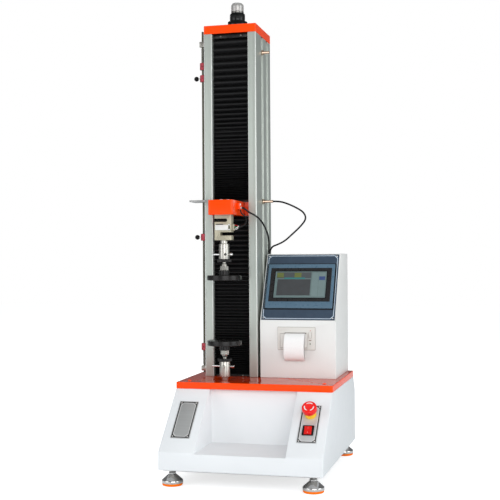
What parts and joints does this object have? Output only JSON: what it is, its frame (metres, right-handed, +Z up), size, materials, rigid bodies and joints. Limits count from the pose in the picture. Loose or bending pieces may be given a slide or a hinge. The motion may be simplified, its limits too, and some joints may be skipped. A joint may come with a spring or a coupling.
{
  "type": "universal testing machine",
  "caption": "Single-column benchtop tension and compression tester with a moving crosshead, load cell, round platens, limit collars, sloped base and a control box with screen and printer.",
  "frame": {"origin": "floor level under the middle of the base, between the four feet", "axes": "+Z up along the column, +X to the operator's right, -Y towards the operator"},
  "size_m": [0.434, 0.55, 1.3415],
  "materials": {
    "powder_coat": "satin white powder coat",
    "orange_paint": "glossy orange paint",
    "anodised": "satin anodised",
    "steel": "bright machined steel",
    "dark_steel": "blackened",
    "platen_black": "blackened and polished",
    "bellows_black": "glossy folded sheet",
    "bronze": "plain bearing bronze",
    "black_plastic": "matte",
    "red_plastic": "glossy",
    "yellow_plastic": "glossy",
    "red_metal": "red anodised",
    "load_cell": "satin",
    "panel_navy": "printed film",
    "screen_glass": "glossy screen",
    "printer_white": "satin",
    "paper": "plain",
    "clear": "translucent white",
    "pvc": "matte black jacket",
    "belt": "matte",
    "foot_orange": "chromed with an orange rubber ring",
    "zinc": "zinc plated",
    "board": "circuit board and power supply"
  },
  "bodies": {
    "frame": {"base_cabinet": "powder_coat", "bottom_tray": "zinc", "column_back": "anodised", "column_cap": "orange_paint", "column_left": "anodised", "column_right": "anodised", "control_box": "powder_coat", "display_panel": "panel_navy", "drive_belt": "belt", "electronics": "board", "end_blocks": "dark_steel", "estop_collar": "yellow_plastic", "guide_rods": "steel", "label_plates": "steel", "lamp_body": "black_plastic", "lamp_dome": "clear", "limit_brackets": "steel", "lower_adapter": "steel", "lower_platen": "platen_black", "mains_inlet": "black_plastic", "motor": "black_plastic", "panel_screws": "steel", "printer_body": "printer_white", "rear_panel": "powder_coat", "rocker_bezel": "black_plastic", "side_cable": "pvc", "side_fittings": "steel", "table_plate": "orange_paint", "touch_screen": "screen_glass"},
    "lead_screw": {"lead_screw": "steel", "screw_pulley": "dark_steel"},
    "motor_pulley": {"motor_pulley": "dark_steel"},
    "crosshead": {"carriage": "dark_steel", "carriage_bushings": "bronze", "crosshead_cover": "orange_paint", "striker_arm": "zinc", "load_cell": "load_cell", "upper_adapter": "steel", "upper_platen": "platen_black", "load_cell_lead": "pvc", "upper_bellows": "bellows_black", "lower_bellows": "bellows_black", "crosshead_cable": "pvc"},
    "upper_locknut": {"upper_locknut": "dark_steel"},
    "upper_cross_pin": {"upper_cross_pin": "steel"},
    "lower_locknut": {"lower_locknut": "dark_steel"},
    "lower_cross_pin": {"lower_cross_pin": "steel"},
    "limit_rod": {"limit_rod": "red_metal"},
    "upper_limit_collar": {"upper_limit_collar": "red_metal"},
    "lower_limit_collar": {"lower_limit_collar": "red_metal"},
    "estop_head": {"estop_head": "red_plastic"},
    "rocker": {"rocker": "red_plastic"},
    "printer_door": {"printer_door": "printer_white", "paper_strip": "paper"},
    "paper_roll": {"paper_roll": "paper"},
    "feed_button": {"feed_button": "printer_white"},
    "foot_front_left": {"foot_front_left": "foot_orange"},
    "foot_front_right": {"foot_front_right": "foot_orange"},
    "foot_rear_left": {"foot_rear_left": "foot_orange"},
    "foot_rear_right": {"foot_rear_right": "foot_orange"}
  },
  "joints": [
    {"name": "crosshead_slide", "type": "slide", "parent": "frame", "child": "crosshead", "axis": [0, 0, 1], "range_m": [-0.085, 0.335], "deforming": ["upper_bellows", "lower_bellows", "crosshead_cable"]},
    {"name": "screw_turn", "type": "hinge", "parent": "frame", "child": "lead_screw", "pos_m": [-0.099, 0.11, 0.7], "axis": [0, 0, 1], "continuous": true},
    {"name": "motor_turn", "type": "hinge", "parent": "frame", "child": "motor_pulley", "pos_m": [0.03, 0.11, 0.2], "axis": [0, 0, 1], "continuous": true},
    {"name": "upper_locknut_turn", "type": "hinge", "parent": "crosshead", "child": "upper_locknut", "pos_m": [-0.099, -0.048, 0.584], "axis": [0, 0, 1], "range_deg": [0, 360]},
    {"name": "upper_pin_pull", "type": "slide", "parent": "crosshead", "child": "upper_cross_pin", "axis": [1, 0, 0], "range_m": [0, 0.045]},
    {"name": "lower_locknut_turn", "type": "hinge", "parent": "frame", "child": "lower_locknut", "pos_m": [-0.099, -0.048, 0.308], "axis": [0, 0, 1], "range_deg": [0, 360]},
    {"name": "lower_pin_pull", "type": "slide", "parent": "frame", "child": "lower_cross_pin", "axis": [1, 0, 0], "range_m": [0, 0.045]},
    {"name": "limit_rod_slide", "type": "slide", "parent": "frame", "child": "limit_rod", "axis": [0, 0, 1], "range_m": [-0.003, 0.003], "stiffness_N_per_m": 2000, "springref_m": 0.0007},
    {"name": "upper_collar_slide", "type": "slide", "parent": "limit_rod", "child": "upper_limit_collar", "axis": [0, 0, 1], "range_m": [0, 0.014]},
    {"name": "lower_collar_slide", "type": "slide", "parent": "limit_rod", "child": "lower_limit_collar", "axis": [0, 0, 1], "range_m": [-0.294, 0]},
    {"name": "estop_press", "type": "slide", "parent": "frame", "child": "estop_head", "axis": [0, 0.6902, -0.7236], "range_m": [0, 0.005], "stiffness_N_per_m": 1500},
    {"name": "rocker_tip", "type": "hinge", "parent": "frame", "child": "rocker", "pos_m": [0.168, -0.21077, 0.14436], "axis": [1, 0, 0], "range_deg": [-16, 0]},
    {"name": "printer_door_open", "type": "hinge", "parent": "frame", "child": "printer_door", "pos_m": [0.083, 0.01875, 0.3411], "axis": [1, 0, 0], "range_deg": [0, 60], "deforming": ["paper_strip"]},
    {"name": "paper_roll_turn", "type": "hinge", "parent": "frame", "child": "paper_roll", "pos_m": [0.088, 0.054, 0.3585], "axis": [1, 0, 0], "continuous": true},
    {"name": "feed_button_press", "type": "slide", "parent": "frame", "child": "feed_button", "axis": [0, 1, 0], "range_m": [0, 0.0006], "stiffness_N_per_m": 800},
    {"name": "foot_front_left_screw", "type": "slide", "parent": "frame", "child": "foot_front_left", "axis": [0, 0, 1], "range_m": [-0.01, 0.005]},
    {"name": "foot_front_right_screw", "type": "slide", "parent": "frame", "child": "foot_front_right", "axis": [0, 0, 1], "range_m": [-0.01, 0.005]},
    {"name": "foot_rear_left_screw", "type": "slide", "parent": "frame", "child": "foot_rear_left", "axis": [0, 0, 1], "range_m": [-0.01, 0.005]},
    {"name": "foot_rear_right_screw", "type": "slide", "parent": "frame", "child": "foot_rear_right", "axis": [0, 0, 1], "range_m": [-0.01, 0.005]}
  ],
  "couplings": [
    {"joint": "screw_turn", "follows": "crosshead_slide", "rad_per_m": 628.32},
    {"joint": "motor_turn", "follows": "crosshead_slide", "rad_per_m": 628.32}
  ]
}
